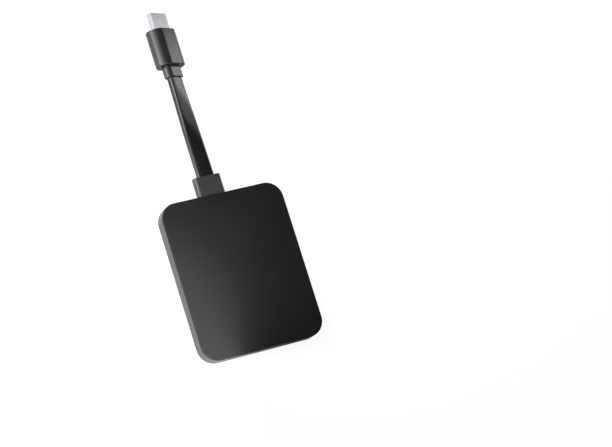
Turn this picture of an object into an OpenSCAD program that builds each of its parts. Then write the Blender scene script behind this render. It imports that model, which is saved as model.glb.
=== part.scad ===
// Flat streaming media player with a short flat cable and a video plug.
// It lies on its back: +Z is the side of its front face, +Y runs towards the plug,
// and the origin is the middle of the housing's underside.

/* [Housing] */
// Width of the housing
body_w = 79.5; // [76:0.5:110]
// Length of the housing, along the cable
body_l = 98; // [92:0.5:130]
// Height of the front cover's skirt, from the seam to the face
skirt_h = 8.6; // [8.4:0.1:14]
// Height of the back cover, from its underside to the seam
dish_h = 2.6; // [2.3:0.1:4]
// Radius of the four upright corners
corner_r = 10.5; // [8:0.5:16]
// Radius of the fine round edge about the face
edge_r = 0.5; // [0.3:0.1:1]
// Side wall of the front cover
wall = 1.6; // [1.5:0.1:2.2]
// Thickness of the front cover's face and of the back cover's floor
face_t = 1.4; // [1.1:0.1:1.6]
// Radius of the back cover's lower edge, as a share of its height
dish_edge_share = 0.92; // [0.5:0.02:0.96]

/* [Seam and snap hooks] */
// Inset of the back cover's rim, the shadow line at the seam
shadow = 0.35; // [0.2:0.05:0.6]
// Thickness of the lip that stands inside the front cover's skirt
lip_t = 0.7; // [0.5:0.05:0.8]
// Height of that lip above the seam
lip_h = 1.6; // [1:0.1:1.8]
// Clearance between the two covers where one enters the other
seam_fit = 0.1; // [0.05:0.01:0.15]
// Width of a snap hook
hook_w = 6; // [4:0.5:8]
// Thickness of a snap hook
hook_t = 1; // [0.8:0.1:1.2]
// Height of a snap hook above the seam
hook_h = 4.6; // [4.2:0.1:5]
// How far a hook's wedge bites into the front cover's wall
hook_bite = 0.5; // [0.3:0.05:0.6]
// Height of the wedge of a hook
wedge_h = 1.3; // [1:0.1:1.5]

/* [Back vents] */
// Width of a vent slot
vent_w = 1.4; // [1:0.1:1.8]
// Length of a vent slot
vent_l = 13; // [8:0.5:16]
// Distance between neighbouring vent slots
vent_pitch = 3.4; // [3:0.1:4]
// Vent slots in a row
vent_count = 11; // [5:2:13]

/* [Strain relief] */
// Width of the block outside the housing
relief_w = 17.4; // [15.5:0.1:20]
// Thickness of that block
relief_t = 6.1; // [5.4:0.1:6.8]
// Length of that block
relief_l = 12.5; // [8:0.1:18]
// Radius of its long edges
relief_edge_r = 2; // [0.8:0.1:2.2]
// Radius of the edge about its outer end
relief_end_r = 0.4; // [0.2:0.1:0.7]
// Place of the cable across the housing
cable_x = -3.2; // [-12:0.1:12]
// Height of the cable's axis above the board
cable_rise = 1.6; // [1.5:0.1:2]
// Width of the neck that sits in the wall's notch
neck_w = 13; // [12:0.1:14]
// Thickness of that neck
neck_t = 5; // [4.8:0.1:5.4]
// Width of the flange inside the wall
flange_w = 15.6; // [15:0.1:18]
// Thickness of that flange
flange_t = 6; // [5.6:0.1:6.4]
// Length of that flange
flange_l = 2; // [1:0.1:2.4]

/* [Flat cable] */
// Width of the flat cable
cable_w = 10.6; // [9:0.1:12]
// Thickness of the flat cable
cable_t = 4.3; // [3:0.1:5]
// Radius of its long edges
cable_edge_r = 1.2; // [0.8:0.1:1.4]
// Turn of the plug about the cable's axis, in degrees
plug_turn = 30.8; // [0:0.2:31]
// Wires inside the cable
wire_count = 7; // [5:1:7]
// Radius of a wire
wire_r = 0.45; // [0.35:0.05:0.5]
// Distance between neighbouring wires
wire_pitch = 1.5; // [1.3:0.05:1.6]

/* [Video plug] */
// Width of the plug's narrow collar
collar_w = 13.9; // [13:0.1:17]
// Thickness of that collar
collar_t = 6.7; // [6:0.1:8]
// Length of that collar
collar_l = 6.9; // [4:0.1:12]
// Width of the plug's grip
grip_w = 21.1; // [20.5:0.1:23]
// Thickness of the grip
grip_t = 12.4; // [11:0.1:13.2]
// Length of the grip
grip_l = 23.4; // [20:0.1:32]
// Radius of the edges at both ends of the grip
grip_edge_r = 0.6; // [0.3:0.1:1]
// Width of the metal shell
shell_w = 13.9; // [13:0.1:15]
// Height of the metal shell
shell_h = 4.45; // [4.2:0.05:4.8]
// Length of the shell that stands out of the grip
shell_out = 11; // [9:0.05:13]
// Length of the shell inside the grip
shell_in = 7.5; // [5:0.1:9]
// Offset of the shell from the grip's middle towards its wide face
shell_rise = 0.6; // [0:0.1:1]
// Sheet thickness of the shell
shell_t = 0.35; // [0.25:0.05:0.4]
// Width of the slanted lower corner of the shell
shell_cut_w = 1.7; // [1.4:0.1:2.2]
// Height of that slanted corner
shell_cut_h = 0.9; // [0.7:0.1:1.6]
// Wall of the insert beside the slot for the mating tongue
insert_side = 0.75; // [0.5:0.05:1]
// Wall of the insert above and below that slot
insert_wall = 0.875; // [0.7:0.025:1]
// Depth of that slot
slot_l = 8.6; // [6:0.1:10]
// Set-back of the insert behind the shell's mouth
insert_back = 0.6; // [0.3:0.1:1]
// Distance between neighbouring contacts of the plug
pin_pitch = 1; // [0.9:0.05:1.05]
// Width of a contact of the plug
pin_w = 0.45; // [0.3:0.05:0.5]
// Thickness of a contact of the plug
pin_t = 0.2; // [0.15:0.05:0.3]
// Length of the can that closes the plug's rear
can_l = 11; // [8:0.1:12]
// Sheet thickness of that can
can_t = 0.35; // [0.25:0.05:0.5]
// Clear space between that can and the shell inside it
can_gap = 0.6; // [0.4:0.05:0.8]

/* [Main board] */
// Gap between the board's long edges and the side walls
board_side_gap = 1.65; // [1.5:0.05:2.5]
// Gap between the board's lower edge and the end wall
board_end_gap = 2.3; // [1.8:0.1:4]
// Gap between the board's upper edge and the strain relief's flange
board_relief_gap = 1; // [0.6:0.1:3]
// Height of the board's underside above the seam
board_rise = 1.2; // [1:0.1:1.4]
// Thickness of the board
board_t = 1; // [0.8:0.1:1.2]
// Distance of a screw from the board's edges
screw_inset = 4.5; // [4.2:0.1:6]
// Radius of a screw's shank
screw_r = 0.95; // [0.8:0.05:1.1]
// Length of a screw's shank
screw_l = 5; // [4:0.1:5.6]
// Radius of a screw's head
screw_head_r = 1.8; // [1.6:0.1:2]
// Height of a screw's head
screw_head_h = 1.2; // [0.8:0.1:1.5]
// Clearance about a screw
screw_fit = 0.05; // [0.03:0.01:0.1]
// Wall of the bosses that the screws enter
boss_wall = 1.75; // [1.4:0.05:2]

/* [Chips and shield] */
// Width and length of the processor
processor_w = 15; // [12:0.5:16]
// Height of the processor
processor_h = 1.2; // [0.9:0.1:1.3]
// Thickness of the pad between processor and shield
inner_pad_t = 0.6; // [0.4:0.1:0.8]
// Clear space between the shield's sides and its chips
chip_gap = 3; // [2:0.1:4]
// Clear space between the shield's ends and the memory chips
chip_end_gap = 1.5; // [1.3:0.1:3]
// Gap between the two memory chips
memory_gap = 2; // [1:0.1:4]
// Sheet thickness of the shield
shield_t = 0.25; // [0.2:0.05:0.3]
// Thickness of the pad between shield and heat spreader
outer_pad_t = 0.6; // [0.4:0.1:0.8]
// Gap between the heat spreader's sides and the screw bosses
spreader_side_gap = 1.25; // [0.5:0.05:4]
// Gap between the heat spreader's upper edge and the cable header
spreader_header_gap = 3; // [1:0.1:8]
// Distance of the heat spreader's lower edge from the board's
spreader_low_gap = 12.2; // [8:0.1:16]
// Thickness of the heat spreader
spreader_t = 1.2; // [0.8:0.1:1.3]
// Width of a memory chip
memory_w = 9; // [8:0.1:10]
// Length of a memory chip
memory_l = 12.5; // [11:0.1:13]
// Height of a memory or storage chip
memory_h = 1; // [0.8:0.1:1.2]
// Width of the wireless module
radio_w = 13; // [10:0.5:15]
// Length of the wireless module
radio_l = 12; // [10:0.5:15]
// Height of the wireless module
radio_h = 1.8; // [1.4:0.1:2]

/* [Power inlet] */
// Width of the inlet's oval shell
inlet_w = 8.94; // [8.9:0.01:9.1]
// Height of that shell
inlet_h = 3.26; // [3.2:0.01:3.4]
// Length of that shell
inlet_l = 7.35; // [6.5:0.05:8]
// Sheet thickness of that shell
inlet_t = 0.32; // [0.25:0.01:0.35]
// Set-back of the inlet's mouth behind the housing's side
inlet_back = 0.4; // [0.2:0.1:0.8]
// Width of the tongue in the inlet
tongue_w = 6.69; // [6.4:0.01:6.8]
// Thickness of that tongue
tongue_t = 0.7; // [0.6:0.05:0.8]
// Length of that tongue
tongue_l = 4.45; // [3.8:0.05:5]
// Place of the inlet along the board, as a share of its length
inlet_place_share = 0.09; // [0:0.01:0.12]

/* [Reset button] */
// Width of the reset switch along the board's edge
switch_w = 4.7; // [4.2:0.1:5.5]
// Depth of the reset switch
switch_d = 3.4; // [3:0.1:4]
// Height of the reset switch
switch_h = 1.8; // [1.7:0.1:2.1]
// Width of the button's stem
button_w = 1.6; // [1.2:0.1:1.8]
// Height of the button
button_h = 0.8; // [0.6:0.1:0.9]
// How far the button stands out of its switch
button_out = 1.2; // [0.8:0.1:1.2]
// Travel of the button
button_travel = 0.3; // [0.2:0.05:0.4]
// Clearance about the button
button_fit = 0.08; // [0.05:0.01:0.1]
// Radius of the pin hole in the housing in front of the button
pinhole_r = 0.9; // [0.7:0.05:1.1]
// Place of the switch along the board, as a share of its length
reset_place_share = 0.22; // [0.2:0.01:0.23]

/* [Status light] */
// Radius of the light pipe
pipe_r = 1; // [0.7:0.05:1.1]
// Radius of the light pipe's inner flange
pipe_flange_r = 1.5; // [1.3:0.05:1.6]
// Thickness of that flange
pipe_flange_t = 0.5; // [0.3:0.05:0.7]
// Height of the lamp on the board
lamp_h = 1.2; // [0.8:0.1:1.4]
// Place of the lamp along the board, as a share of its length
lamp_place_share = -0.05; // [-0.15:0.01:-0.02]

/* [Antennas] */
// Length of an antenna
antenna_l = 18; // [14:0.5:20]
// Height of an antenna above the board
antenna_h = 4; // [3:0.1:4.4]
// Sheet thickness of an antenna
antenna_t = 0.4; // [0.3:0.05:0.6]
// Width of an antenna's arm and feet
antenna_arm = 1.2; // [1:0.1:1.4]

/* [Hidden] */
$fn = 64;
// Overrun of every cut beyond the face that it opens
over = 0.5;
// Depth to which a rib, boss or post is rooted in the wall that carries it
root = 0.4;
// Clearance of an opening in the housing about what sits in it
opening_fit = 0.2;
// Clearance between sheet parts that slide over each other
sheet_fit = 0.05;

// Heights of the stack, from the underside of the back cover upwards
z_seam = dish_h;
z_top = dish_h + skirt_h;
z_ceiling = z_top - face_t;
z_board = z_seam + board_rise;
z_deck = z_board + board_t;
z_lid = z_deck + processor_h + inner_pad_t;
z_outer_pad = z_lid + shield_t;
z_spreader = z_outer_pad + outer_pad_t;
z_spreader_top = z_spreader + spreader_t;
z_cable = z_deck + cable_rise;

// Outline of the board
relief_inner_y = body_l/2 - wall - seam_fit - flange_l;
board_w = body_w - 2*(wall + board_side_gap);
board_low_y = -body_l/2 + wall + board_end_gap;
board_high_y = relief_inner_y - board_relief_gap;
board_l = board_high_y - board_low_y;
board_y = (board_low_y + board_high_y)/2;
board_r = corner_r - wall - board_side_gap;
screw_x = board_w/2 - screw_inset;
screw_y = board_l/2 - screw_inset;
boss_r = screw_r + screw_fit + boss_wall;

// Clamp and header where the cable's wires reach the board
header_l = 4.6;
header_gap = 4.6;
header_cap = 1.2;
header_w = wire_pitch*(wire_count + 1);
header_h = z_cable - z_deck + wire_r + header_cap;
header_y = board_high_y - header_gap - header_l;
wire_seat = 1.6;
wire_fit = 0.05;
clamp_l = 2.4;
clamp_t = 0.5;
clamp_slack = 0.6;
clamp_foot = 1.4;
clamp_w = wire_pitch*wire_count + 2*(clamp_t + clamp_slack);
clamp_inset = 0.8;
clamp_y = board_high_y - clamp_inset - clamp_l;

// Heat spreader between the bosses, and the shield round its chips
spreader_r = 3;
spreader_w = 2*(screw_x - boss_r - spreader_side_gap);
spreader_l = header_y - spreader_header_gap - board_low_y - spreader_low_gap;
spreader_y = board_low_y + spreader_low_gap + spreader_l/2;
shield_w = processor_w + memory_w + 4*chip_gap;
shield_l = 2*(memory_l + chip_end_gap) + memory_gap;

// Snap hooks: places along each wall as shares of its length, and levels
long_hook_share = 0.3;
short_hook_share = 0.27;
hook_u = wall + seam_fit;
z_hook_top = z_seam + hook_h;
z_catch = z_hook_top - wedge_h;
hook_tip_t = hook_t/2;

// Ribs, posts and stakes that the covers carry
rib_t = 1;
seat_rib_place_share = 0.36;
stake_r = 1;
stake_head_r = 1.8;
stake_head_h = 0.45;
stake_place_share = 0.42;
post_r = 1.6;
post_gap = 0.1;
post_place_share = [0.34, 0.38];
vent_row_place_share = 0.2;

// Route of the flat cable from the strain relief's end, as points [x, y, z]
cable_route = [
    [0, 0, 0], [-0.06, 4, 0.03], [-0.13, 8.5, 0.13], [-0.22, 13.5, 0.29], [-0.34, 18, 0.48],
    [-0.46, 23, 0.69], [-0.6, 27.5, 0.92], [-0.73, 32.5, 1.17], [-0.84, 37, 1.41],
    [-0.97, 42, 1.64], [-1.06, 46.5, 1.85], [-1.16, 51.5, 2.02], [-1.22, 55.2, 2.14],
    [-1.28, 59.5, 2.24], [-1.31, 63.6, 2.32]];
cable_exit = [cable_x, body_l/2 + relief_l, z_cable];
route_end = cable_route[len(cable_route) - 1];
// Power that holds the turn back towards the plug
turn_delay = 1.05;
// Points round each corner of the cable's section
corner_points = 4;
section_points = 4*corner_points;

// Lengths along the plug, from the cable's end towards its mouth
grip_end = collar_l + grip_l;
shell_rear = grip_end - shell_in;
shell_mouth = grip_end + shell_out;
can_lap = 1.7;
can_rear = shell_rear + can_lap - can_l;
insert_l = shell_mouth - insert_back - shell_rear;
pin_share = 0.7;
pin_l = slot_l*pin_share;
plug_fit = 0.05;
can_w = shell_w + 2*(can_t + can_gap);
can_h = shell_h + 2*(can_t + can_gap);
slot_w = shell_w - 2*(shell_t + plug_fit + insert_side);
slot_h = shell_h - 2*(shell_t + plug_fit + insert_wall);

// Places on the board, as shares of its width and length
shield_place_share = [0.02, -0.03];
radio_place_share = [0, -0.33];
power_chip_place_share = [0.31, 0.31];
crystal_place_share = [-0.12, 0.2];
board_gap = 2;
storage_w = 11.5;
storage_l = 13;
power_chip_w = 5;
power_chip_h = 0.8;
coil_w = 4;
coil_h = 1.8;
coil_count = 3;
coil_pitch = 6.4;
crystal_w = 3.2;
crystal_l = 2.5;
crystal_h = 0.8;
capacitor_w = 1;
capacitor_l = 1.8;
capacitor_h = 0.9;
capacitor_columns = 4;
capacitor_rows = 6;
capacitor_pitch = 3;

// Side pieces at the board's right edge
inlet_y = board_y + inlet_place_share*board_l;
inlet_z = z_deck + inlet_h/2;
inlet_mouth_x = body_w/2 - inlet_back;
tongue_setback = 1;
tongue_root = tongue_setback + tongue_l;
inlet_block_l = inlet_l - inlet_t - tongue_root;
inlet_pin_count = 12;
inlet_pin_pitch = 0.5;
inlet_pin_w = 0.25;
inlet_pin_t = 0.1;
inlet_pin_share = 0.85;
reset_y = board_y + reset_place_share*board_l;
reset_z = z_deck + switch_h/2;
switch_front_x = board_w/2;
shoulder_ear = 0.5;
shoulder_w = button_w + 2*shoulder_ear;
shoulder_l = 0.5;
switch_wall = 0.4;
cavity_l = shoulder_l + button_travel + 2*button_fit;
lamp_y = board_y + lamp_place_share*board_l;
lamp_w = 1.6;
lamp_l = 2;
pipe_rise_share = 0.8;
lamp_z = z_deck + pipe_r*pipe_rise_share;
lamp_gap = 0.3;

// Colours of the pieces
cover_colour = "#2c2c2e";
cable_colour = "#232325";
metal_colour = "#b9b6bb";
gold_colour = "#c9a24a";
board_colour = "#1f4a35";
chip_colour = "#1c1c1e";

// Points on the board's upper face, from shares of its width and length
function on_board(share) = [share[0]*board_w, board_y + share[1]*board_l, z_deck];

// Flat outline of a rectangle with round corners
module round_outline(w, l, r) {
    square([w - 2*r, l], center = true);
    square([w, l - 2*r], center = true);
    for (x = [-1, 1], y = [-1, 1]) translate([x*(w/2 - r), y*(l/2 - r)]) circle(r);
}

// Block with round upright corners
module round_block(w, l, h, r) {
    linear_extrude(h) round_outline(w, l, r);
}

// Profile from a corner's axis outwards, with a fillet at its lower and upper edge
module edge_profile(r, h, low_r, high_r) {
    intersection() {
        square([r, h]);
        union() {
            translate([0, low_r]) square([r, h - low_r - high_r]);
            if (low_r > 0) {
                square([r - low_r, low_r]);
                translate([r - low_r, low_r]) circle(low_r);
            }
            if (high_r > 0) {
                translate([0, h - high_r]) square([r - high_r, high_r]);
                translate([r - high_r, h - high_r]) circle(high_r);
            }
        }
    }
}

// Block with round corners whose lower and upper edges are filleted all round
module soft_block(w, l, h, r, low_r, high_r) {
    translate([-(w/2 - r), -(l/2 - r), 0]) cube([w - 2*r, l - 2*r, h]);
    for (turn = [0:3]) {
        across = turn % 2 == 0 ? w : l;
        along = turn % 2 == 0 ? l : w;
        rotate([0, 0, 90*turn]) translate([across/2 - r, along/2 - r, 0]) {
            rotate_extrude(angle = 90) edge_profile(r, h, low_r, high_r);
            rotate([90, 0, 0]) linear_extrude(along - 2*r) edge_profile(r, h, low_r, high_r);
        }
    }
}

// Bar along +Y with a section of two half circles, filleted at both ends
module pill_bar(w, t, l, end_r) {
    span = w - t;
    translate([0, l, 0]) rotate([90, 0, 0]) {
        for (s = [0, 1]) rotate([0, 0, 180*s]) translate([span/2, 0, 0])
            rotate([0, 0, -90]) rotate_extrude(angle = 180) edge_profile(t/2, l, end_r, end_r);
        translate([-span/2, 0, 0]) rotate([90, 0, 90]) linear_extrude(span) {
            edge_profile(t/2, l, end_r, end_r);
            mirror([1, 0]) edge_profile(t/2, l, end_r, end_r);
        }
    }
}

// Flat outline of two half circles joined by straight lines
module pill_outline(w, t) {
    square([w - t, t], center = true);
    for (x = [-1, 1]) translate([x*(w - t)/2, 0]) circle(t/2);
}

// Stretch along +Y of a flat outline whose up is +Z
module along_y(l) {
    translate([0, l, 0]) rotate([90, 0, 0]) linear_extrude(l) children();
}

// Stretch along +X of a flat outline drawn in Y and Z
module along_x(l) {
    rotate([90, 0, 90]) linear_extrude(l) children();
}

// A place on the inner side of one wall: -X points into the housing, Y runs along the wall
module at_wall(turn, place) {
    rotate([0, 0, turn]) translate([(turn % 180 == 0 ? body_w : body_l)/2, place, 0]) children();
}

// The eight places of the snap hooks
module at_hooks() {
    for (turn = [0, 180], s = [-1, 1]) at_wall(turn, s*long_hook_share*body_l) children();
    for (turn = [90, 270], s = [-1, 1]) at_wall(turn, s*short_hook_share*body_w) children();
}

// The four screws of the board
module at_screws() {
    for (x = [-1, 1], y = [-1, 1]) translate([x*screw_x, board_y + y*screw_y, 0]) children();
}

// The four stakes that hold the heat spreader
module at_stakes() {
    for (x = [-1, 1], y = [-1, 1])
        translate([x*stake_place_share*spreader_w, spreader_y + y*stake_place_share*spreader_l, 0])
            children();
}

// Skirt and face of the front cover, hollow, with the rebate for the lip
module front_shell() {
    rebate = wall - lip_t - seam_fit;
    difference() {
        translate([0, 0, z_seam]) soft_block(body_w, body_l, skirt_h, corner_r, 0, edge_r);
        translate([0, 0, z_seam - over])
            round_block(body_w - 2*wall, body_l - 2*wall, skirt_h - face_t + over, corner_r - wall);
        translate([0, 0, z_seam - over])
            round_block(body_w - 2*rebate, body_l - 2*rebate, lip_h + seam_fit + over,
                corner_r - rebate);
    }
}

// Ribs that the heat spreader seats on, and the stakes through it
module spreader_seats() {
    rib_h = z_ceiling - z_spreader_top + root;
    reach_w = seat_rib_place_share*spreader_w;
    reach_l = seat_rib_place_share*spreader_l;
    for (x = [-1, 0, 1]) translate([x*reach_w - rib_t/2, spreader_y - reach_l, z_spreader_top])
        cube([rib_t, 2*reach_l, rib_h]);
    for (y = [-1, 0, 1]) translate([-reach_w, spreader_y + y*reach_l - rib_t/2, z_spreader_top])
        cube([2*reach_w, rib_t, rib_h]);
    at_stakes() {
        translate([0, 0, z_spreader - stake_head_h])
            cylinder(h = z_ceiling + root - z_spreader + stake_head_h, r = stake_r);
        translate([0, 0, z_spreader - stake_head_h]) cylinder(h = stake_head_h, r = stake_head_r);
    }
}

module front_cover() {
    color(cover_colour) difference() {
        union() {
            front_shell();
            spreader_seats();
            at_screws() translate([0, 0, z_deck]) cylinder(h = z_ceiling + root - z_deck, r = boss_r);
            for (x = [-1, 1], y = [-1, 1])
                translate([x*screw_x, board_y + y*screw_y - rib_t/2, z_hook_top])
                    mirror([x < 0 ? 1 : 0, 0, 0])
                        cube([body_w/2 - wall + root - screw_x, rib_t, z_ceiling + root - z_hook_top]);
        }
        at_screws() translate([0, 0, z_deck - over])
            cylinder(h = over + screw_l - board_t + screw_fit + over, r = screw_r + screw_fit);
        at_hooks() translate([-wall - over, -hook_w/2 - seam_fit, z_catch - seam_fit])
            cube([over + hook_bite + seam_fit, hook_w + 2*seam_fit, wedge_h + 2*seam_fit]);
        translate([cable_x - neck_w/2 - seam_fit, body_l/2 - wall - over, z_seam - over])
            cube([neck_w + 2*seam_fit, wall + 2*over, over + z_cable + neck_t/2 + seam_fit - z_seam]);
        translate([body_w/2 - wall - over, inlet_y, inlet_z]) along_x(wall + 2*over)
            pill_outline(inlet_w + 2*opening_fit, inlet_h + 2*opening_fit);
        translate([body_w/2 - wall - over, lamp_y, lamp_z]) rotate([0, 90, 0])
            cylinder(h = wall + 2*over, r = pipe_r + sheet_fit);
        translate([body_w/2 - wall - over, reset_y, reset_z]) rotate([0, 90, 0])
            cylinder(h = wall + 2*over, r = pinhole_r);
    }
}

// One snap hook, rooted in the back cover's rim beside the lip
module snap_hook() {
    foot_u = wall - lip_t/2;
    rotate([90, 0, 0]) linear_extrude(hook_w, center = true) polygon([
        [-foot_u, z_seam - root], [-foot_u, z_seam + lip_h], [-hook_u, z_seam + lip_h],
        [-hook_u, z_catch], [-hook_u + hook_bite, z_catch], [-hook_u, z_hook_top],
        [-hook_u - hook_tip_t, z_hook_top], [-hook_u - hook_t, z_catch],
        [-hook_u - hook_t, z_seam - root]]);
}

// Flat outline of the two rows of vent slots
module vent_outlines() {
    for (row = [-1, 1], i = [0:vent_count - 1])
        translate([(i - (vent_count - 1)/2)*vent_pitch, board_y + row*vent_row_place_share*board_l])
            rotate([0, 0, 90]) pill_outline(vent_l, vent_w);
}

module back_cover() {
    rim_in = hook_u + hook_t + seam_fit;
    lip_out = wall - lip_t;
    gate_h = z_cable - neck_t/2 - seam_fit - z_seam;
    color(cover_colour) {
        difference() {
            soft_block(body_w - 2*shadow, body_l - 2*shadow, dish_h, corner_r - shadow,
                dish_h*dish_edge_share, 0);
            translate([0, 0, face_t])
                round_block(body_w - 2*rim_in, body_l - 2*rim_in, dish_h, corner_r - rim_in);
            translate([0, 0, -over]) linear_extrude(face_t + 2*over) vent_outlines();
        }
        difference() {
            translate([0, 0, z_seam - root])
                round_block(body_w - 2*lip_out, body_l - 2*lip_out, root + lip_h, corner_r - lip_out);
            translate([0, 0, z_seam - root - over])
                round_block(body_w - 2*wall, body_l - 2*wall, root + lip_h + 2*over, corner_r - wall);
            translate([cable_x - neck_w/2 - seam_fit, body_l/2 - wall - over, z_seam + gate_h])
                cube([neck_w + 2*seam_fit, wall + 2*over, lip_h]);
        }
        at_hooks() snap_hook();
        translate([cable_x - neck_w/2, body_l/2 - wall, z_seam - root])
            cube([neck_w, wall - shadow, root + gate_h]);
        for (x = [-1, 1], y = [-1, 0, 1])
            translate([x*post_place_share[0]*board_w, board_y + y*post_place_share[1]*board_l,
                face_t - root]) cylinder(h = root + z_board - face_t - post_gap, r = post_r);
    }
}

module heat_spreader() {
    color("#a9abae") difference() {
        translate([0, spreader_y, z_spreader]) round_block(spreader_w, spreader_l, spreader_t, spreader_r);
        at_stakes() translate([0, 0, z_spreader - over])
            cylinder(h = spreader_t + 2*over, r = stake_r + screw_fit);
    }
}

// Centre of the shield and places round it: processor, memory, storage, coils, capacitors
shield_at = on_board(shield_place_share);
shield_side = shield_w/2 + shield_t + sheet_fit + board_gap;
processor_at = shield_at + [-shield_w/2 + chip_gap + processor_w/2, 0, 0];
memory_at = shield_at + [shield_w/2 - chip_gap - memory_w/2, 0, 0];
storage_at = shield_at + [-shield_side - storage_w/2, shield_l/2 - storage_l/2, 0];
capacitor_at = storage_at - [0, storage_l/2 + board_gap + capacitor_l/2, 0];
coil_at = shield_at + [shield_side + coil_w/2, -shield_l/4, 0];

// Low box centred on a point, with its underside there
module low_box(at, w, l, h) {
    translate(at + [-w/2, -l/2, 0]) cube([w, l, h]);
}

module spreader_pad() {
    color("#8d9bb0") low_box([processor_at[0], processor_at[1], z_outer_pad],
        processor_w, processor_w, outer_pad_t);
}

module shield_lid() {
    lid_w = shield_w + 2*(shield_t + sheet_fit);
    lid_l = shield_l + 2*(shield_t + sheet_fit);
    skirt = (z_lid - z_deck)*0.7;
    color(metal_colour) difference() {
        low_box([shield_at[0], shield_at[1], z_lid - skirt], lid_w, lid_l, skirt + shield_t);
        low_box([shield_at[0], shield_at[1], z_lid - skirt - over],
            lid_w - 2*shield_t, lid_l - 2*shield_t, skirt + over);
    }
}

module shield_frame() {
    bridge = 1.2;
    color(metal_colour) difference() {
        low_box(shield_at, shield_w, shield_l, z_lid - z_deck);
        low_box(shield_at - [0, 0, over], shield_w - 2*shield_t, shield_l - 2*shield_t,
            over + z_lid - z_deck - shield_t);
        low_box(shield_at, shield_w - 2*bridge, shield_l - 2*bridge, z_lid - z_deck + over);
    }
}

module processor_pad() {
    color("#9aa6b8") low_box(processor_at + [0, 0, processor_h], processor_w, processor_w, inner_pad_t);
}

module processor() {
    carrier_h = processor_h*0.35;
    cap_w = processor_w*0.86;
    color(chip_colour) {
        low_box(processor_at, processor_w, processor_w, carrier_h);
        low_box(processor_at + [0, 0, carrier_h], cap_w, cap_w, processor_h - carrier_h);
    }
}

module memory_chips() {
    color(chip_colour) for (s = [-1, 1])
        low_box(memory_at + [0, s*(memory_l + memory_gap)/2, 0], memory_w, memory_l, memory_h);
}

module storage_chip() {
    color(chip_colour) low_box(storage_at, storage_w, storage_l, memory_h);
}

module wireless_module() {
    plate_h = radio_h*0.4;
    can_share = 0.84;
    color(metal_colour) {
        low_box(on_board(radio_place_share), radio_w, radio_l, plate_h);
        low_box(on_board(radio_place_share) + [0, 0, plate_h], radio_w*can_share, radio_l*can_share,
            radio_h - plate_h);
    }
}

module power_chip() {
    color(chip_colour) low_box(on_board(power_chip_place_share), power_chip_w, power_chip_w, power_chip_h);
}

module power_coils() {
    color("#4a4a4c") for (i = [0:coil_count - 1]) {
        at = coil_at - [0, coil_pitch*i, 0];
        difference() {
            low_box(at, coil_w, coil_w, coil_h);
            translate(at + [0, 0, coil_h*0.8]) cylinder(h = coil_h, r = coil_w*0.32);
        }
    }
}

module crystal() {
    color(metal_colour) low_box(on_board(crystal_place_share), crystal_w, crystal_l, crystal_h);
}

module capacitors() {
    color("#8a7457") for (i = [0:capacitor_columns - 1], j = [0:capacitor_rows - 1])
        low_box(capacitor_at + capacitor_pitch*[i - (capacitor_columns - 1)/2, -j, 0],
            capacitor_w, capacitor_l, capacitor_h);
}

module main_board() {
    color(board_colour) difference() {
        translate([0, board_y, z_board]) round_block(board_w, board_l, board_t, board_r);
        at_screws() translate([0, 0, z_board - over]) cylinder(h = board_t + 2*over, r = screw_r + screw_fit);
    }
}

module board_screws() {
    socket_r = screw_r*0.8;
    color(metal_colour) at_screws() difference() {
        union() {
            translate([0, 0, z_board - screw_head_h]) cylinder(h = screw_head_h, r = screw_head_r);
            translate([0, 0, z_board]) cylinder(h = screw_l, r = screw_r);
        }
        translate([0, 0, z_board - screw_head_h - over])
            cylinder(h = over + screw_head_h*0.6, r = socket_r, $fn = 6);
    }
}

// Stamped aerial that stands on two feet at the board's lower edge
module antenna(side) {
    h = antenna_h;
    a = antenna_arm;
    translate([side*board_w/4, board_low_y + a, z_deck]) mirror([side < 0 ? 1 : 0, 0, 0])
        rotate([90, 0, 0]) translate([-antenna_l/2, 0, -antenna_t/2]) linear_extrude(antenna_t)
            polygon([[0, 0], [a, 0], [a, h - a], [3*a, h - a], [3*a, 0], [4*a, 0], [4*a, h - a],
                [antenna_l - a, h - a], [antenna_l - a, h - 2*a], [antenna_l, h - 2*a],
                [antenna_l, h], [0, h]]);
}

module antenna_left() {
    color(metal_colour) antenna(-1);
}

module antenna_right() {
    color(metal_colour) antenna(1);
}

// A place at the inlet's mouth: +X points out of the housing
module at_inlet() {
    translate([inlet_mouth_x, inlet_y, inlet_z]) children();
}

module power_inlet_shell() {
    color(metal_colour) at_inlet() difference() {
        translate([-inlet_l, 0, 0]) along_x(inlet_l) pill_outline(inlet_w, inlet_h);
        translate([-inlet_l + inlet_t, 0, 0]) along_x(inlet_l + over)
            pill_outline(inlet_w - 2*inlet_t, inlet_h - 2*inlet_t);
    }
}

module power_inlet_tongue() {
    color(chip_colour) at_inlet() {
        translate([-inlet_l + inlet_t, 0, 0]) along_x(inlet_block_l)
            pill_outline(inlet_w - 2*inlet_t - sheet_fit, inlet_h - 2*inlet_t - sheet_fit);
        translate([-tongue_root, -tongue_w/2, -tongue_t/2]) cube([tongue_l, tongue_w, tongue_t]);
    }
}

module power_inlet_contacts() {
    color(gold_colour) at_inlet() for (i = [0:inlet_pin_count - 1], s = [0, 1])
        translate([-tongue_root, (i - (inlet_pin_count - 1)/2)*inlet_pin_pitch - inlet_pin_w/2,
            s == 0 ? tongue_t/2 : -tongue_t/2 - inlet_pin_t])
            cube([tongue_l*inlet_pin_share, inlet_pin_w, inlet_pin_t]);
}

module reset_switch() {
    slot_hw = button_w/2 + button_fit;
    slot_hh = button_h/2 + button_fit;
    cavity_hw = shoulder_w/2 + button_fit;
    color("#3a3a3c") difference() {
        low_box([switch_front_x - switch_d/2, reset_y, z_deck], switch_d, switch_w, switch_h);
        translate([switch_front_x - switch_wall - cavity_l, reset_y - cavity_hw, reset_z - slot_hh])
            cube([cavity_l, 2*cavity_hw, 2*slot_hh]);
        translate([switch_front_x - switch_wall - over/2, reset_y - slot_hw, reset_z - slot_hh])
            cube([switch_wall + over, 2*slot_hw, 2*slot_hh]);
    }
}

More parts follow.
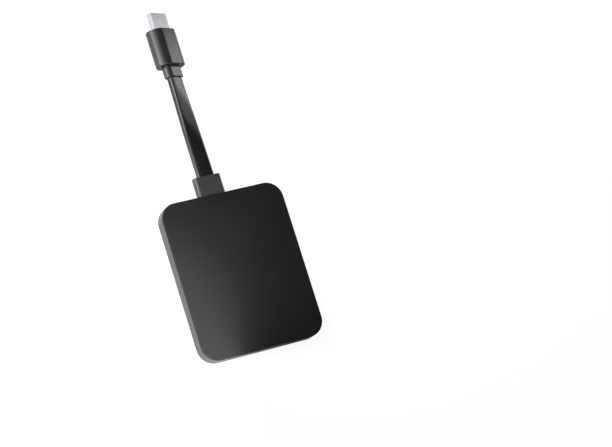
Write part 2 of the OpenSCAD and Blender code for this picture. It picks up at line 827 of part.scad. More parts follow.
module reset_button() {
    shoulder_x = switch_front_x - switch_wall - button_fit - shoulder_l;
    color("#d8d8da") translate([shoulder_x, reset_y, reset_z - button_h/2]) {
        translate([0, -shoulder_w/2, 0]) cube([shoulder_l, shoulder_w, button_h]);
        translate([0, -button_w/2, 0])
            cube([shoulder_l + button_fit + switch_wall + button_out, button_w, button_h]);
    }
}

module status_lamp() {
    color("#e8e8e0") low_box([board_w/2 - lamp_l/2, lamp_y, z_deck], lamp_l, lamp_w, lamp_h);
}

module light_pipe() {
    pipe_l = body_w/2 - board_w/2 - lamp_gap;
    flange_x = body_w/2 - wall - pipe_flange_t;
    color([0.9, 0.9, 0.92, 0.6]) translate([0, lamp_y, lamp_z]) rotate([0, 90, 0]) {
        translate([0, 0, body_w/2 - pipe_l]) cylinder(h = pipe_l, r = pipe_r);
        translate([0, 0, flange_x]) cylinder(h = pipe_flange_t, r = pipe_flange_r);
    }
}

// The places of the cable's wires where they cross a plane
module at_wires() {
    for (i = [0:wire_count - 1]) translate([cable_x + (i - (wire_count - 1)/2)*wire_pitch, 0, z_cable])
        children();
}

module cable_header() {
    color("#e6e2d6") difference() {
        translate([cable_x - header_w/2, header_y, z_deck]) cube([header_w, header_l, header_h]);
        at_wires() translate([0, header_y + header_l + over, 0]) rotate([90, 0, 0])
            cylinder(h = over + wire_seat, r = wire_r + wire_fit);
    }
}

module cable_clamp() {
    top = z_cable - z_deck + wire_r + wire_fit + clamp_t;
    out = clamp_w/2;
    in = clamp_w/2 - clamp_t;
    foot = clamp_w/2 + clamp_foot;
    color(metal_colour) translate([cable_x, clamp_y, z_deck]) along_y(clamp_l) polygon([
        [-foot, 0], [-in, 0], [-in, top - clamp_t], [in, top - clamp_t], [in, 0], [foot, 0],
        [foot, clamp_t], [out, clamp_t], [out, top], [-out, top], [-out, clamp_t], [-foot, clamp_t]]);
}

module cable_wires() {
    end_y = header_y + header_l - wire_seat + wire_fit;
    color("#c8c8ca") at_wires() translate([0, relief_inner_y, 0]) rotate([90, 0, 0])
        cylinder(h = relief_inner_y - end_y, r = wire_r);
}

module strain_relief() {
    neck_l = wall + seam_fit;
    block_at = [cable_x, body_l/2 + relief_l, z_cable];
    color(cable_colour) {
        translate(block_at) rotate([90, 0, 0])
            soft_block(relief_w, relief_t, relief_l, relief_edge_r, relief_end_r, 0);
        translate([cable_x - neck_w/2, body_l/2 - neck_l, z_cable - neck_t/2])
            cube([neck_w, neck_l, neck_t]);
        translate([cable_x - flange_w/2, relief_inner_y, z_cable - flange_t/2])
            cube([flange_w, flange_l, flange_t]);
    }
}

// Turn of the cable's section at one point of the route, eased at both ends
function turn_at(i) = let (u = pow(i/(len(cable_route) - 1), turn_delay)) plug_turn*u*u*(3 - 2*u);

// One point of the cable's section, before its turn
function section_at(j) =
    let (corner = floor(j/corner_points),
         a = 90*(corner - 1 + (j % corner_points)/(corner_points - 1)),
         side = corner < 2 ? 1 : -1, up = corner == 1 || corner == 2 ? 1 : -1)
    [side*(cable_w/2 - cable_edge_r) + cable_edge_r*cos(a),
        up*(cable_t/2 - cable_edge_r) + cable_edge_r*sin(a)];

// One point of the cable's surface
function cable_at(i, j) = let (p = section_at(j), t = turn_at(i))
    cable_exit + cable_route[i] + [p[0]*cos(t) + p[1]*sin(t), 0, p[1]*cos(t) - p[0]*sin(t)];

module flat_cable() {
    n = section_points;
    last = len(cable_route) - 1;
    side_faces = [for (i = [0:last - 1], j = [0:n - 1]) let (k = (j + 1) % n)
        each [[i*n + j, (i + 1)*n + j, (i + 1)*n + k], [i*n + j, (i + 1)*n + k, i*n + k]]];
    end_faces = [for (j = [1:n - 2]) each [[0, j, j + 1], [last*n, last*n + j + 1, last*n + j]]];
    color(cable_colour) polyhedron(
        points = [for (i = [0:last], j = [0:n - 1]) cable_at(i, j)],
        faces = concat(side_faces, end_faces));
}

// The plug's own frame: its axis is +Y from the cable's end, and its wide face looks to +Z
module at_plug() {
    translate(cable_exit + route_end) rotate([0, plug_turn, 0]) children();
}

// The connector inside the plug, set towards the grip's wide face
module at_connector() {
    at_plug() translate([0, 0, shell_rise]) children();
}

// Outline of the plug's shell, with slanted lower corners
module shell_outline(grow) {
    w = shell_w/2 + grow;
    h = shell_h/2 + grow;
    polygon([[-w, h], [w, h], [w, -h + shell_cut_h], [w - shell_cut_w, -h],
        [-w + shell_cut_w, -h], [-w, -h + shell_cut_h]]);
}

module plug_grip() {
    color(cable_colour) at_plug() difference() {
        union() {
            pill_bar(collar_w, collar_t, collar_l + root, 0);
            translate([0, collar_l, 0]) pill_bar(grip_w, grip_t, grip_l, grip_edge_r);
        }
        translate([0, shell_rear, shell_rise]) along_y(shell_in + over) shell_outline(plug_fit);
        translate([-can_w/2 - plug_fit, can_rear - plug_fit, shell_rise - can_h/2 - plug_fit])
            cube([can_w + 2*plug_fit, can_l + 2*plug_fit, can_h + 2*plug_fit]);
    }
}

module plug_can() {
    color(metal_colour) at_connector() difference() {
        translate([-can_w/2, can_rear, -can_h/2]) cube([can_w, can_l, can_h]);
        translate([-can_w/2 + can_t, can_rear + can_t, -can_h/2 + can_t])
            cube([can_w - 2*can_t, can_l + over, can_h - 2*can_t]);
    }
}

module plug_shell() {
    window_w = shell_w*0.15;
    window_l = shell_out*0.12;
    color(metal_colour) at_connector() difference() {
        translate([0, shell_rear, 0]) along_y(shell_in + shell_out) shell_outline(0);
        translate([0, shell_rear - over, 0]) along_y(shell_in + shell_out + 2*over)
            shell_outline(-shell_t);
        for (s = [-1, 1])
            translate([s*shell_w/5 - window_w/2, grip_end + shell_out*0.45, -shell_h/2 - over])
                cube([window_w, window_l, over + shell_t*1.2]);
    }
}

module plug_insert() {
    color(chip_colour) at_connector() difference() {
        translate([0, shell_rear, 0]) along_y(insert_l) shell_outline(-shell_t - plug_fit);
        translate([-slot_w/2, shell_rear + insert_l - slot_l, -slot_h/2])
            cube([slot_w, slot_l + over, slot_h]);
    }
}

module plug_contacts() {
    front = shell_rear + insert_l - insert_back;
    color(gold_colour) at_connector() for (row = [0, 1]) {
        count = row == 0 ? 10 : 9;
        for (i = [0:count - 1])
            translate([(i - (count - 1)/2)*pin_pitch - pin_w/2, front - pin_l,
                row == 0 ? slot_h/2 - pin_t : -slot_h/2]) cube([pin_w, pin_l, pin_t]);
    }
}

front_cover();
back_cover();
heat_spreader();
spreader_pad();
shield_lid();
shield_frame();
processor_pad();
processor();
memory_chips();
storage_chip();
wireless_module();
power_chip();
power_coils();
crystal();
capacitors();
main_board();
board_screws();
antenna_left();
antenna_right();
power_inlet_shell();
power_inlet_tongue();
power_inlet_contacts();
reset_switch();
reset_button();
status_lamp();
light_pipe();
cable_header();
cable_clamp();
cable_wires();
strain_relief();
flat_cable();
plug_grip();
plug_can();
plug_shell();
plug_insert();
plug_contacts();
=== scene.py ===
import math

import bmesh
import bpy
from mathutils import Matrix, Vector


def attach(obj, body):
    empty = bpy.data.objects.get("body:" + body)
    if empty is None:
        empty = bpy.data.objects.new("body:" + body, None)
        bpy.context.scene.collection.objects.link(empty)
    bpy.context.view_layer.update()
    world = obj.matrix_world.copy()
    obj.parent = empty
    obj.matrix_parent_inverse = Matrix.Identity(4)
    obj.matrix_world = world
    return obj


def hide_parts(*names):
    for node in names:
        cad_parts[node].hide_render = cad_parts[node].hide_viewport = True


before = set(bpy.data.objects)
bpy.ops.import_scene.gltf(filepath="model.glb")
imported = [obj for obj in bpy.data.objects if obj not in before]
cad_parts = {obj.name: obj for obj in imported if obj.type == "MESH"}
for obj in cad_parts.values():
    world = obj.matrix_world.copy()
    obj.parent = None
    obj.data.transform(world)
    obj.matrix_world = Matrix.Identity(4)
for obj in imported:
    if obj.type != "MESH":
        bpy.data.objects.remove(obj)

mm = 0.001
scene = bpy.context.scene
scene.view_settings.view_transform = "Standard"
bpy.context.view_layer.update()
print("stage: frame loaded,", len(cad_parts), "nodes")


def linearColour(text):
    # sRGB hex to the linear values that Blender's sockets take
    channels = [int(text[i:i + 2], 16) / 255 for i in (1, 3, 5)]
    return (*(c / 12.92 if c <= 0.04045 else ((c + 0.055) / 1.055) ** 2.4 for c in channels), 1.0)


def addNode(tree, kind, inputs=None, **settings):
    # one node with its settings; an input given as a socket is linked, any other is set
    node = tree.nodes.new(kind)
    for key, value in settings.items():
        setattr(node, key, value)
    for key, value in (inputs or {}).items():
        if isinstance(value, bpy.types.NodeSocket):
            tree.links.new(value, node.inputs[key])
        else:
            node.inputs[key].default_value = value
    return node


def perMetre(sizeMm):
    # scale of a pattern whose features are about this many millimetres across
    return 1 / (sizeMm * mm)


def newObject(name, data):
    obj = bpy.data.objects.new(name, data)
    scene.collection.objects.link(obj)
    return obj


camera = {
    "place": (-0.4336, -0.1829, 1.1053),
    "right": (0.8923, -0.2991, 0.3380),     # where the picture's right points
    "up": (0.2138, 0.9397, 0.2671),         # and its top
    "lens": 117.65,                         # millimetres, as the sensor's width
    "sensor": 36.0,
    "near": 0.01,
    "far": 20,
}


def makeCamera():
    data = bpy.data.cameras.new("camera")
    data.lens = camera["lens"]
    data.sensor_width = camera["sensor"]
    data.clip_start = camera["near"]
    data.clip_end = camera["far"]
    right = Vector(camera["right"]).normalized()
    up = Vector(camera["up"])
    up = (up - right * up.dot(right)).normalized()
    turn = Matrix((right, up, right.cross(up))).transposed()
    obj = newObject("camera", data)
    obj.matrix_world = Matrix.Translation(camera["place"]) @ turn.to_4x4()
    scene.camera = obj


makeCamera()
print("stage: camera placed")


# Exit, route, turn and section repeat the part's own, in millimetres and degrees
cable = {
    "exit": (-3.2, 61.5, 6.4),
    "route": [
        (0, 0, 0), (-0.06, 4, 0.03), (-0.13, 8.5, 0.13), (-0.22, 13.5, 0.29), (-0.34, 18, 0.48),
        (-0.46, 23, 0.69), (-0.6, 27.5, 0.92), (-0.73, 32.5, 1.17), (-0.84, 37, 1.41),
        (-0.97, 42, 1.64), (-1.06, 46.5, 1.85), (-1.16, 51.5, 2.02), (-1.22, 55.2, 2.14),
        (-1.28, 59.5, 2.24), (-1.31, 63.6, 2.32)],
    "length": 63.6,
    "turn": 30.8,           # about its own line, from the exit to the plug
    "turnDelay": 1.05,      # above 1 the turn comes later
    "width": 10.6,
    "thickness": 4.3,
    "edgeRadius": 1.2,
    "crown": 0.15,          # how far each wide face sinks towards its edges
    "steps": 6,             # rings from one point of the route to the next
    "edgePoints": 6,        # points round one edge
    "faceCuts": 3,          # cuts across a face
    "weld": 0.001,
    "sharpAngle": 40,
}


def cableLine():
    # a Catmull-Rom curve through the route's points, and the turn at each place on it
    points = [Vector(cable["exit"]) + Vector(p) for p in cable["route"]]
    last = len(points) - 1
    line = []
    for i in range(last):
        before, a = points[max(i - 1, 0)], points[i]
        b, after = points[i + 1], points[min(i + 2, last)]
        for k in range(cable["steps"] + (i == last - 1)):
            t = k / cable["steps"]
            place = 0.5 * (2 * a + (b - before) * t + (2 * before - 5 * a + 4 * b - after) * t ** 2
                           + (3 * a - before - 3 * b + after) * t ** 3)
            u = ((i + t) / last) ** cable["turnDelay"]
            line.append((place * mm, math.radians(cable["turn"]) * u * u * (3 - 2 * u)))
    return line


def sweepTree(material):
    # a strip with rounded edges and slightly crowned faces, swept along a curve
    tree = bpy.data.node_groups.new("sweptStrip", "GeometryNodeTree")
    sizes = {"Curve": "Geometry", "Width": "Float", "Thickness": "Float", "Edge Radius": "Float",
             "Edge Points": "Int", "Crown": "Float", "Face Cuts": "Int"}
    for name, kind in sizes.items():
        tree.interface.new_socket(name, in_out="INPUT", socket_type="NodeSocket" + kind)
    tree.interface.new_socket("Mesh", in_out="OUTPUT", socket_type="NodeSocketGeometry")
    given = addNode(tree, "NodeGroupInput").outputs
    strip = addNode(tree, "GeometryNodeCurvePrimitiveQuadrilateral",
                    {"Width": given["Width"], "Height": given["Thickness"]})
    rounded = addNode(tree, "GeometryNodeFilletCurve",
                      {"Curve": strip.outputs[0], "Count": given["Edge Points"],
                       "Radius": given["Edge Radius"]}, mode="POLY")
    cut = addNode(tree, "GeometryNodeSubdivideCurve",
                  {"Curve": rounded.outputs[0], "Cuts": given["Face Cuts"]})
    # the crown grows with the square of the way from the middle to the edge
    place = addNode(tree, "ShaderNodeSeparateXYZ",
                    {0: addNode(tree, "GeometryNodeInputPosition").outputs[0]}).outputs
    half = addNode(tree, "ShaderNodeMath", {0: given["Width"], 1: 0.5}, operation="MULTIPLY")
    share = addNode(tree, "ShaderNodeMath", {0: place["X"], 1: half.outputs[0]},
                    operation="DIVIDE")
    square = addNode(tree, "ShaderNodeMath", {0: share.outputs[0], 1: share.outputs[0]},
                     operation="MULTIPLY")
    sink = addNode(tree, "ShaderNodeMath", {0: square.outputs[0], 1: given["Crown"]},
                   operation="MULTIPLY")
    face = addNode(tree, "ShaderNodeMath", {0: place["Y"]}, operation="SIGN")
    outward = addNode(tree, "ShaderNodeMath", {0: sink.outputs[0], 1: face.outputs[0]},
                      operation="MULTIPLY")
    inward = addNode(tree, "ShaderNodeMath", {0: 0.0, 1: outward.outputs[0]},
                     operation="SUBTRACT")
    shift = addNode(tree, "ShaderNodeCombineXYZ", {"Y": inward.outputs[0]})
    crowned = addNode(tree, "GeometryNodeSetPosition",
                      {"Geometry": cut.outputs[0], "Offset": shift.outputs[0]})
    swept = addNode(tree, "GeometryNodeCurveToMesh",
                    {"Curve": given["Curve"], "Profile Curve": crowned.outputs[0],
                     "Fill Caps": True})
    real = addNode(tree, "GeometryNodeRealizeInstances", {0: swept.outputs[0]})
    dressed = addNode(tree, "GeometryNodeSetMaterial",
                      {"Geometry": real.outputs[0], "Material": material})
    addNode(tree, "NodeGroupOutput", {0: dressed.outputs[0]})
    return tree


def grown(obj, tree, sizes, name):
    # runs a geometry tree on an object and keeps its result as a plain mesh object
    modifier = obj.modifiers.new("grow", "NODES")
    modifier.node_group = tree
    for item in tree.interface.items_tree:
        if item.item_type == "SOCKET" and item.in_out == "INPUT" and item.name in sizes:
            modifier[item.identifier] = sizes[item.name]
    bpy.context.view_layer.update()
    graph = bpy.context.evaluated_depsgraph_get()
    mesh = bpy.data.meshes.new_from_object(obj.evaluated_get(graph), depsgraph=graph)
    mesh.name = name
    obj.modifiers.remove(modifier)
    bpy.data.objects.remove(obj)
    return newObject(name, mesh)


def outwardNormals(mesh, weldMm):
    work = bmesh.new()
    work.from_mesh(mesh)
    bmesh.ops.remove_doubles(work, verts=work.verts, dist=weldMm * mm)
    bmesh.ops.recalc_face_normals(work, faces=work.faces)
    work.to_mesh(mesh)
    work.free()


def makeCable(material):
    line = cableLine()
    data = bpy.data.curves.new("cableLine", "CURVE")
    data.dimensions = "3D"
    data.twist_mode = "Z_UP"
    spline = data.splines.new("POLY")
    spline.points.add(len(line) - 1)
    for point, (place, turn) in zip(spline.points, line):
        point.co = (*place, 1)
        point.tilt = turn
    obj = grown(newObject("cableLine", data), sweepTree(material),
                {"Width": cable["width"] * mm, "Thickness": cable["thickness"] * mm,
                 "Edge Radius": cable["edgeRadius"] * mm, "Edge Points": cable["edgePoints"],
                 "Crown": cable["crown"] * mm, "Face Cuts": cable["faceCuts"]}, "flatCable")
    outwardNormals(obj.data, cable["weld"])
    obj.data.shade_smooth()
    obj.data.set_sharp_from_angle(angle=math.radians(cable["sharpAngle"]))
    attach(obj, "housing")
    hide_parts("flat_cable")
    return obj, [tuple(place) for place, _ in line]


def startMaterial(name):
    material = bpy.data.materials.new(name)
    material.use_nodes = True
    material.node_tree.nodes.clear()
    return material, material.node_tree


def shaded(material, inputs):
    # closes a material with its shader
    tree = material.node_tree
    shader = addNode(tree, "ShaderNodeBsdfPrincipled", inputs)
    addNode(tree, "ShaderNodeOutputMaterial", {"Surface": shader.outputs[0]})
    return material


patternEnds = (0.3, 0.7)    # nearly all of a noise lies between these


def drift(tree, pattern, look):
    # colour and roughness that drift together with a pattern
    tone = addNode(tree, "ShaderNodeValToRGB", {"Fac": pattern})
    for stop, place, colour in zip(tone.color_ramp.elements, patternEnds, ("dark", "light")):
        stop.position = place
        stop.color = linearColour(look[colour])
    gloss = addNode(tree, "ShaderNodeMapRange",
                    {"Value": pattern, "From Min": patternEnds[0], "From Max": patternEnds[1],
                     "To Min": look["roughness"] - look["roughSpread"],
                     "To Max": look["roughness"] + look["roughSpread"]})
    return {"Base Color": tone.outputs["Color"], "Roughness": gloss.outputs["Result"]}


def mouldedPlastic(name, look):
    # moulded plastic: fine eroded grain from the steel mould, slow flow clouds in tone and gloss
    material, tree = startMaterial(name)
    place = addNode(tree, "ShaderNodeTexCoord").outputs
    clouds = addNode(tree, "ShaderNodeTexNoise",
                     {"Vector": place["Object"], "Scale": perMetre(look["cloudMm"]),
                      "Detail": 3.0}).outputs["Fac"]
    grain = addNode(tree, "ShaderNodeTexNoise",
                    {"Vector": place["Object"], "Scale": perMetre(look["grainMm"]),
                     "Detail": 2.0}).outputs["Fac"]
    bump = addNode(tree, "ShaderNodeBump",
                   {"Height": grain, "Strength": look["grainStrength"],
                    "Distance": look["grainDepthMm"] * mm})
    inputs = {**drift(tree, clouds, look), "Normal": bump.outputs["Normal"], "IOR": look["ior"]}
    if "shadedEndGloss" in look:
        # painted shade: the end that faces back along the cable reflects less, standing in for the
        # floor's shadow in front of it
        facing = addNode(tree, "ShaderNodeSeparateXYZ", {0: place["Normal"]})
        level = addNode(tree, "ShaderNodeMapRange",
                        {"Value": facing.outputs["Y"], "From Min": look["endFacing"],
                         "From Max": look["sideFacing"], "To Min": look["shadedEndGloss"],
                         "To Max": look["sideGloss"]})
        inputs["Specular IOR Level"] = level.outputs["Result"]
    return shaded(material, inputs)


def platedMetal(name, look):
    # rolled sheet with a thin bright plating: faint rolling lines along the part, slight tone drift
    material, tree = startMaterial(name)
    place = addNode(tree, "ShaderNodeTexCoord").outputs["Object"]
    stretched = addNode(tree, "ShaderNodeMapping", {"Vector": place, "Scale": look["stretch"]})
    lines = addNode(tree, "ShaderNodeTexNoise",
                    {"Vector": stretched.outputs[0], "Scale": perMetre(look["lineMm"]),
                     "Detail": 4.0}).outputs["Fac"]
    bump = addNode(tree, "ShaderNodeBump",
                   {"Height": lines, "Strength": look["lineStrength"],
                    "Distance": look["lineDepthMm"] * mm})
    return shaded(material, {**drift(tree, lines, look), "Normal": bump.outputs["Normal"],
                             "Metallic": 1.0})


def solderMask(name, look):
    # glass-epoxy board under green mask: copper tracks read as slightly lighter, raised lines
    material, tree = startMaterial(name)
    place = addNode(tree, "ShaderNodeTexCoord").outputs["Object"]
    tracks = addNode(tree, "ShaderNodeTexBrick",
                     {"Vector": place, "Scale": perMetre(look["gridMm"]),
                      "Mortar Size": look["trackWidth"], "Mortar Smooth": look["trackEdge"],
                      "Brick Width": look["runLength"], "Row Height": look["runPitch"],
                      "Color1": linearColour(look["dark"]), "Color2": linearColour(look["dark"]),
                      "Mortar": linearColour(look["light"])})
    bump = addNode(tree, "ShaderNodeBump",
                   {"Height": tracks.outputs["Fac"], "Strength": look["trackStrength"],
                    "Distance": look["trackDepthMm"] * mm})
    return shaded(material, {"Base Color": tracks.outputs["Color"],
                             "Roughness": look["roughness"], "Normal": bump.outputs["Normal"]})


def clearPlastic(name, look):
    # cast acrylic light guide: clear with a faint milky haze
    material, tree = startMaterial(name)
    place = addNode(tree, "ShaderNodeTexCoord").outputs["Object"]
    haze = addNode(tree, "ShaderNodeTexNoise",
                   {"Vector": place, "Scale": perMetre(look["hazeMm"]),
                    "Detail": 2.0}).outputs["Fac"]
    gloss = addNode(tree, "ShaderNodeMapRange",
                    {"Value": haze, "To Min": look["roughLow"], "To Max": look["roughHigh"]})
    return shaded(material, {"Base Color": linearColour(look["colour"]),
                             "Roughness": gloss.outputs["Result"],
                             "Transmission Weight": look["clearness"], "IOR": look["ior"]})


plasticLooks = {
    # housing: ABS, satin from a finely eroded mould
    "abs": {"dark": "#181818", "light": "#1b1b1c", "cloudMm": 22, "grainMm": 0.22,
            "grainStrength": 0.12, "grainDepthMm": 0.02, "roughness": 0.24,
            "roughSpread": 0.012, "ior": 1.5},
    # cable: soft PVC, drawn smooth through a die
    "pvcCable": {"dark": "#161617", "light": "#1b1b1c", "cloudMm": 9, "grainMm": 0.5,
                 "grainStrength": 0.06, "grainDepthMm": 0.02, "roughness": 0.18,
                 "roughSpread": 0.02, "ior": 1.52},
    # strain relief: the same PVC from a duller mould, a shade lighter
    "pvcRelief": {"dark": "#2d2d2e", "light": "#313132", "cloudMm": 8, "grainMm": 0.18,
                  "grainStrength": 0.15, "grainDepthMm": 0.02, "roughness": 0.36,
                  "roughSpread": 0.015, "ior": 1.52},
    # grip: PVC moulded over the plug, with painted shade on the end that the cable enters, which
    # reflects less
    "pvcGrip": {"dark": "#252526", "light": "#29292b", "cloudMm": 8, "grainMm": 0.18,
                "grainStrength": 0.15, "grainDepthMm": 0.02, "roughness": 0.21,
                "roughSpread": 0.015, "ior": 1.52, "shadedEndGloss": 0.1, "sideGloss": 0.5,
                "endFacing": -0.9, "sideFacing": -0.5},
    # chips: black epoxy with a matt, slightly pitted skin
    "epoxy": {"dark": "#17171a", "light": "#222226", "cloudMm": 3, "grainMm": 0.12,
              "grainStrength": 0.3, "grainDepthMm": 0.02, "roughness": 0.55,
              "roughSpread": 0.04, "ior": 1.55},
    # thermal pad: soft grey silicone filled with ceramic powder
    "silicone": {"dark": "#7b8086", "light": "#8d9298", "cloudMm": 2, "grainMm": 0.2,
                 "grainStrength": 0.5, "grainDepthMm": 0.03, "roughness": 0.8,
                 "roughSpread": 0.05, "ior": 1.41},
    # ferrite: sintered, dull and slightly brown
    "ferrite": {"dark": "#2b2927", "light": "#393634", "cloudMm": 1.5, "grainMm": 0.1,
                "grainStrength": 0.5, "grainDepthMm": 0.02, "roughness": 0.7,
                "roughSpread": 0.05, "ior": 1.6},
    # capacitors: fired ceramic, tan
    "ceramic": {"dark": "#8a6b4c", "light": "#9c7c5b", "cloudMm": 1, "grainMm": 0.08,
                "grainStrength": 0.2, "grainDepthMm": 0.01, "roughness": 0.45,
                "roughSpread": 0.04, "ior": 1.6},
    # header and insert: glass-filled nylon, moulded, dry sheen
    "nylonBlack": {"dark": "#121213", "light": "#191919", "cloudMm": 2, "grainMm": 0.1,
                   "grainStrength": 0.25, "grainDepthMm": 0.02, "roughness": 0.5,
                   "roughSpread": 0.04, "ior": 1.53},
    "nylonCream": {"dark": "#d9d3c3", "light": "#e4dfd1", "cloudMm": 2, "grainMm": 0.1,
                   "grainStrength": 0.25, "grainDepthMm": 0.02, "roughness": 0.5,
                   "roughSpread": 0.04, "ior": 1.53},
    # lead wires: drawn PVC
    "wirePvc": {"dark": "#4a4d52", "light": "#5a5d63", "cloudMm": 2, "grainMm": 0.15,
                "grainStrength": 0.1, "grainDepthMm": 0.01, "roughness": 0.4,
                "roughSpread": 0.03, "ior": 1.52},
    # reset plunger: acetal, slippery and even
    "acetal": {"dark": "#24262a", "light": "#2c2e33", "cloudMm": 1, "grainMm": 0.1,
               "grainStrength": 0.1, "grainDepthMm": 0.01, "roughness": 0.3,
               "roughSpread": 0.03, "ior": 1.48},
    # lamp: white resin cup
    "lampResin": {"dark": "#e6e6e0", "light": "#f2f2ee", "cloudMm": 0.5, "grainMm": 0.1,
                  "grainStrength": 0.1, "grainDepthMm": 0.01, "roughness": 0.3,
                  "roughSpread": 0.03, "ior": 1.5},
}

# what all the metal sheets here have from their rolling
rolledSheet = {"roughSpread": 0.04, "lineStrength": 0.15, "lineDepthMm": 0.01}

metalLooks = {
    # plug shell: steel strip, nickel plated
    "nickel": {"dark": "#aba7ad", "light": "#b9b6bb", "lineMm": 0.5, "stretch": (1, 0.12, 1),
               "roughness": 0.22},
    # shield and aerials: tinned steel, stamped
    "tinned": {"dark": "#a5a6a8", "light": "#bcbdbf", "lineMm": 0.6, "stretch": (1, 0.2, 1),
               "roughness": 0.36},
    # screws: zinc plated steel
    "zinc": {"dark": "#b0b3b8", "light": "#c3c6ca", "lineMm": 0.3, "stretch": (1, 1, 1),
             "roughness": 0.28},
    # contacts: gold flash over nickel
    "gold": {"dark": "#d9b25c", "light": "#e6c473", "lineMm": 0.3, "stretch": (1, 0.3, 1),
             "roughness": 0.22},
    # spreader: rolled aluminium sheet, bead blasted
    "aluminium": {"dark": "#c2c4c6", "light": "#cfd0d2", "lineMm": 0.4, "stretch": (1, 0.4, 1),
                  "roughness": 0.42},
}

boardLook = {
    "dark": "#143524", "light": "#1f5236", "roughness": 0.34,
    "gridMm": 1.1,          # the tracks' sizes are shares of this
    "trackWidth": 0.08, "trackEdge": 0.2, "runLength": 1.9, "runPitch": 0.35,
    "trackStrength": 0.4, "trackDepthMm": 0.03,
}

acrylicLook = {"colour": "#eef2f4", "hazeMm": 0.4, "roughLow": 0.08, "roughHigh": 0.22,
               "clearness": 0.85, "ior": 1.49}

finishes = {key: mouldedPlastic(key, look) for key, look in plasticLooks.items()}
finishes.update({key: platedMetal(key, {**rolledSheet, **look})
                 for key, look in metalLooks.items()})
finishes["solderMask"] = solderMask("solderMask", boardLook)
finishes["acrylic"] = clearPlastic("acrylic", acrylicLook)
print("stage:", len(finishes), "materials made")

cordPiece, cordPath = makeCable(finishes["pvcCable"])
print("stage: flat cable swept,", len(cordPath), "rings")


smoothing = {
    "weldMm": 0.002,
    "sliverMm": 0.0001,     # edges shorter than this go
    "sharpAngle": 32,
    "flatWeight": 80,       # how far large flat faces rule the shading of the edges beside them
}


def smoothCopy(node, name, finish):
    # the part's own form with joined faces, so that its curves shade as one surface
    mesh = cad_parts[node].data.copy()
    mesh.name = name
    work = bmesh.new()
    work.from_mesh(mesh)
    bmesh.ops.remove_doubles(work, verts=work.verts, dist=smoothing["weldMm"] * mm)
    bmesh.ops.dissolve_degenerate(work, edges=work.edges, dist=smoothing["sliverMm"] * mm)
    work.to_mesh(mesh)
    work.free()
    if "custom_normal" in mesh.attributes:
        mesh.attributes.remove(mesh.attributes["custom_normal"])
    mesh.shade_smooth()
    mesh.set_sharp_from_angle(angle=math.radians(smoothing["sharpAngle"]))
    mesh.materials.clear()
    mesh.materials.append(finishes[finish])
    for polygon in mesh.polygons:
        polygon.material_index = 0
    obj = newObject(name, mesh)
    weight = obj.modifiers.new("flatFaces", "WEIGHTED_NORMAL")
    weight.keep_sharp = True
    weight.weight = smoothing["flatWeight"]
    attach(obj, "housing")
    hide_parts(node)
    return obj


# Each smoothed piece's node, finish and slot
smoothed = {
    "frontCover": ("front_cover", "abs", "cover_plastic"),
    "backCover": ("back_cover", "abs", "cover_plastic"),
    "strainRelief": ("strain_relief", "pvcRelief", "grip_plastic"),
    "plugGrip": ("plug_grip", "pvcGrip", "grip_plastic"),
    "plugShell": ("plug_shell", "nickel", "plated_steel"),
}
dressed = {name: smoothCopy(node, name, finish)
           for name, (node, finish, slot) in smoothed.items()}

nodeFinishes = {
    "heat_spreader": "aluminium", "spreader_pad": "silicone", "shield_lid": "tinned",
    "shield_frame": "tinned", "processor_pad": "silicone", "processor": "epoxy",
    "memory_chips": "epoxy", "storage_chip": "epoxy", "wireless_module": "tinned",
    "power_chip": "epoxy", "power_coils": "ferrite", "crystal": "tinned",
    "capacitors": "ceramic", "main_board": "solderMask", "board_screws": "zinc",
    "antenna_left": "tinned", "antenna_right": "tinned", "power_inlet_shell": "tinned",
    "power_inlet_tongue": "nylonBlack", "power_inlet_contacts": "gold",
    "reset_switch": "tinned", "reset_button": "acetal", "status_lamp": "lampResin",
    "light_pipe": "acrylic", "cable_header": "nylonCream", "cable_clamp": "tinned",
    "cable_wires": "wirePvc", "plug_can": "tinned", "plug_insert": "nylonBlack",
    "plug_contacts": "gold",
}
for node, finish in nodeFinishes.items():
    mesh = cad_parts[node].data
    mesh.materials.clear()
    mesh.materials.append(finishes[finish])
print("stage:", len(dressed) + len(nodeFinishes), "pieces dressed")


studio = {
    "floorSize": 6.0,
    "floorGrey": "#808080",      # paper as the camera sees it, which keeps the shadow
    "floorWhite": "#f4f4f4",     # paper as gloss sees it
    "floorGlow": 0.92,           # what the camera sees on top of it, up to white
    "ambient": 0.08,             # soft light from all round
    "horizon": 0.5,              # what gloss sees at the horizon
    "zenith": 0.04,              # what gloss sees overhead
    "wallFoot": 0.08,            # heights between which one fades into the other
    "wallTop": 0.42,
    "boxTarget": (0, 0.095, 0),  # what a soft box points at, unless it says otherwise
}


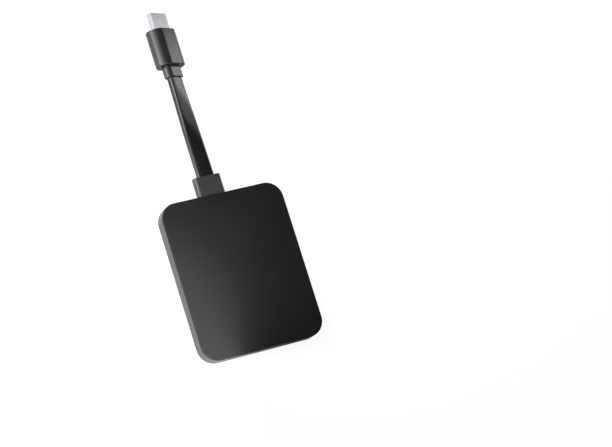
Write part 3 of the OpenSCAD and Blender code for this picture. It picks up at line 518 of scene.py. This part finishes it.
def makeFloor():
    half = studio["floorSize"] / 2
    mesh = bpy.data.meshes.new("floor")
    mesh.from_pydata([(-half, -half, 0), (half, -half, 0), (half, half, 0), (-half, half, 0)],
                     [], [(0, 1, 2, 3)])
    material, tree = startMaterial("paperFloor")
    light = addNode(tree, "ShaderNodeLightPath").outputs
    seen = addNode(tree, "ShaderNodeMath",
                   {0: light["Is Camera Ray"], 1: light["Is Transmission Ray"]},
                   operation="MAXIMUM")
    glow = addNode(tree, "ShaderNodeMath", {0: seen.outputs[0], 1: studio["floorGlow"]},
                   operation="MULTIPLY")
    tone = addNode(tree, "ShaderNodeMix",
                   {0: light["Is Glossy Ray"], 6: linearColour(studio["floorGrey"]),
                    7: linearColour(studio["floorWhite"])}, data_type="RGBA")
    paper = addNode(tree, "ShaderNodeBsdfDiffuse", {"Color": tone.outputs[2]})
    shine = addNode(tree, "ShaderNodeEmission", {"Strength": glow.outputs[0]})
    both = addNode(tree, "ShaderNodeAddShader", {0: paper.outputs[0], 1: shine.outputs[0]})
    # nothing of it shows from below
    clear = addNode(tree, "ShaderNodeBsdfTransparent")
    below = addNode(tree, "ShaderNodeNewGeometry").outputs["Backfacing"]
    oneSided = addNode(tree, "ShaderNodeMixShader",
                       {0: below, 1: both.outputs[0], 2: clear.outputs[0]})
    addNode(tree, "ShaderNodeOutputMaterial", {"Surface": oneSided.outputs[0]})
    mesh.materials.append(material)
    newObject("floor", mesh)


def makeWorld():
    # white to the eye and through clear plastic, a pale wall to gloss, dim to all else
    world = bpy.data.worlds.new("studio")
    scene.world = world
    world.use_nodes = True
    tree = world.node_tree
    tree.nodes.clear()
    light = addNode(tree, "ShaderNodeLightPath").outputs
    place = addNode(tree, "ShaderNodeTexCoord").outputs["Generated"]
    height = addNode(tree, "ShaderNodeSeparateXYZ", {0: place}).outputs["Z"]
    wall = addNode(tree, "ShaderNodeMapRange",
                   {"Value": height, "From Min": studio["wallFoot"],
                    "From Max": studio["wallTop"], "To Min": studio["horizon"],
                    "To Max": studio["zenith"]}, interpolation_type="SMOOTHSTEP")
    gloss = addNode(tree, "ShaderNodeMix",
                    {"Factor": light["Is Glossy Ray"], "A": studio["ambient"],
                     "B": wall.outputs["Result"]})
    plain = addNode(tree, "ShaderNodeMath",
                    {0: light["Is Camera Ray"], 1: light["Is Transmission Ray"]},
                    operation="MAXIMUM")
    strength = addNode(tree, "ShaderNodeMix",
                       {"Factor": plain.outputs[0], "A": gloss.outputs["Result"], "B": 1.0})
    ground = addNode(tree, "ShaderNodeBackground",
                     {"Color": (1, 1, 1, 1), "Strength": strength.outputs["Result"]})
    addNode(tree, "ShaderNodeOutputWorld", {"Surface": ground.outputs[0]})


# Soft boxes: place and size in metres, what they point at, their roll about that line in
# degrees, and the white that gloss sees in them
softBoxes = {
    "keyNear": {"place": (-0.105, 0.111, 0.177), "size": (0.395, 0.377),
                "target": (0.094, 0.379, 0), "roll": 27.9, "white": 1.92},
    "sideLeft": {"place": (-0.449, 0.547, 0.26), "size": (0.448, 0.352), "white": 4.0},
    "sideFar": {"place": (-0.725, 0.448, 0.29), "size": (0.571, 0.349),
                "target": (0, 0.048, 0), "white": 4.0},
    "stripRight": {"place": (0.36, 0.174, 0.05), "size": (0.12, 0.147), "white": 2.9},
    "stripHigh": {"place": (0.31, 0.162, 0.18), "size": (0.14, 0.13), "white": 1.1},
    "stripFar": {"place": (0.36, 0.325, 0.03), "size": (0.08, 0.12), "white": 0.6},
    "lineLeft": {"place": (-0.45, 0.19, 0.2), "size": (0.4, 0.08), "white": 8.0},
}


def makeLamp(name, box):
    data = bpy.data.lights.new(name, "AREA")
    data.shape = "RECTANGLE"
    data.size, data.size_y = box["size"]
    data.energy = box["white"] * math.pi * data.size * data.size_y
    place = Vector(box["place"])
    away = (place - Vector(box.get("target", studio["boxTarget"]))).normalized()
    side = Vector((0, 1, 0)).cross(away).normalized()
    turn = Matrix((side, away.cross(side), away)).transposed().to_4x4()
    roll = Matrix.Rotation(math.radians(box.get("roll", 0)), 4, "Z")
    newObject(name, data).matrix_world = Matrix.Translation(place) @ turn @ roll


makeFloor()
makeWorld()
for name, box in softBoxes.items():
    makeLamp(name, box)
print("stage: floor, world and", len(softBoxes), "lamps")
